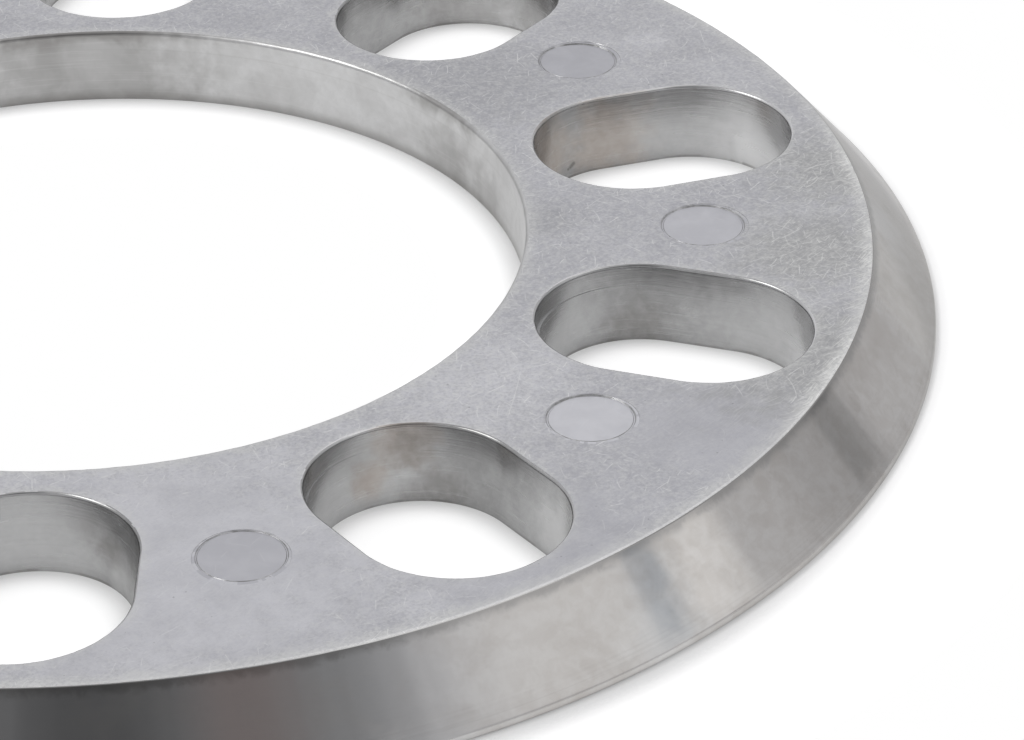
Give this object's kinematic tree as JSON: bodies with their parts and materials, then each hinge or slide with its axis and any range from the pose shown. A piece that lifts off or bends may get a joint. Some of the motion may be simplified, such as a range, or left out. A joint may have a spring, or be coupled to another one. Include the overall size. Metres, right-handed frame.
{
  "type": "wheel spacer",
  "caption": "Flat cast aluminium wheel spacer with a bevelled rim, a central hub bore and radial stud slots, clamped between hub and wheel to set the wheel outwards.",
  "frame": {"origin": "centre of the ring on its hub face, which is the underside it rests on", "axes": "+Z along the bore from the hub face to the wheel face, +X along the middle of one stud slot"},
  "size_m": [0.1668, 0.1668, 0.0079],
  "materials": {
    "cast_aluminium": "satin"
  },
  "bodies": {
    "root": {"spacer_ring": "cast_aluminium"}
  },
  "joints": []
}
